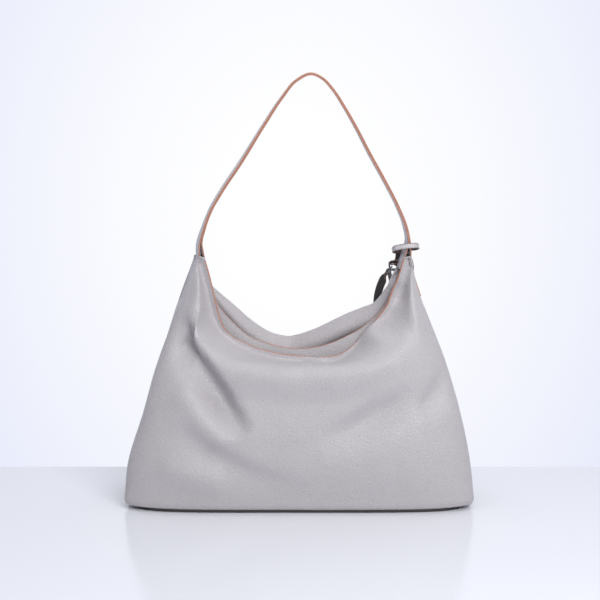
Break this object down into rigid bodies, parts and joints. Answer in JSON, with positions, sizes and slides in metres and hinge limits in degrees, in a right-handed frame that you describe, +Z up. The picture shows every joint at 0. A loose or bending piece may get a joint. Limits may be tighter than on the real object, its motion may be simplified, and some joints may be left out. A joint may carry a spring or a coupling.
{
  "type": "hobo bag",
  "caption": "Slouchy open-top leather hobo bag with raw painted edges, a standing shoulder strap, a middle pouch and a hanging wrist leash.",
  "frame": {"origin": "middle of the base's underside", "axes": "+X to the right seen from the front, -Y out of the front, +Z up, the longest extent"},
  "size_m": [0.4056, 0.1627, 0.497],
  "materials": {
    "taupe_leather": "pebbled grain, soft sheen, terracotta painted edges",
    "dark_leather": "charcoal flesh side with painted edges",
    "lining_fabric": "fine woven lining",
    "board": "matt stiffener board",
    "gunmetal": "polished gunmetal"
  },
  "bodies": {
    "bag": {"front_panel": "taupe_leather", "back_panel": "taupe_leather", "gusset_left": "taupe_leather", "gusset_right": "taupe_leather", "base_panel": "taupe_leather", "base_board": "board", "pouch_front_ply": "taupe_leather", "pouch_back_ply": "taupe_leather", "pouch_binding": "taupe_leather", "snap_stud": "gunmetal", "snap_socket": "gunmetal", "snap_washers": "gunmetal", "zip_pocket_wall": "taupe_leather", "zip_pocket_lining": "lining_fabric", "zip_tapes": "lining_fabric", "zip_teeth": "gunmetal", "zip_stops": "gunmetal", "slip_pocket": "lining_fabric", "tab_left_outer": "taupe_leather", "tab_left_inner": "taupe_leather", "tab_right_outer": "taupe_leather", "tab_right_inner": "taupe_leather", "tip_filler_left": "board", "tip_filler_right": "board", "leash_band": "taupe_leather", "leash_tail": "dark_leather"},
    "strap": {"strap_outer_ply": "taupe_leather", "strap_inner_ply": "taupe_leather"},
    "zip_slider": {"zip_slider": "gunmetal"},
    "zip_pull": {"zip_pull": "gunmetal", "pull_tab": "taupe_leather"},
    "hook": {"hook_body": "gunmetal", "gate_pin": "gunmetal"},
    "gate": {"hook_gate": "gunmetal"},
    "wrist_loop": {"wrist_loop": "dark_leather"}
  },
  "joints": [
    {"name": "strap_fall", "type": "hinge", "parent": "bag", "child": "strap", "pos_m": [0.0065, 0, 0.32], "axis": [1, 0, 0], "range_deg": [-90, 90]},
    {"name": "zip_slide", "type": "slide", "parent": "bag", "child": "zip_slider", "axis": [1, 0, 0], "range_m": [-0.154, 0]},
    {"name": "zip_pull_swing", "type": "hinge", "parent": "zip_slider", "child": "zip_pull", "pos_m": [0.077, 0.0446, 0.102], "axis": [1, 0, 0], "range_deg": [-150, 0]},
    {"name": "leash_swing", "type": "hinge", "parent": "bag", "child": "hook", "pos_m": [0.113, 0.019, 0.275], "axis": [0.788, 0, -0.6157], "range_deg": [0, 75]},
    {"name": "gate_open", "type": "hinge", "parent": "hook", "child": "gate", "pos_m": [0.11099, 0.02336, 0.26699], "axis": [-0.3078, -0.866, -0.394], "range_deg": [0, 30], "stiffness_Nm_per_rad": 0.01, "springref_deg": -17.19},
    {"name": "loop_swing", "type": "hinge", "parent": "hook", "child": "wrist_loop", "pos_m": [0.10404, 0.0274, 0.26354], "axis": [0.3078, 0.866, 0.394], "range_deg": [-20, 40]}
  ]
}
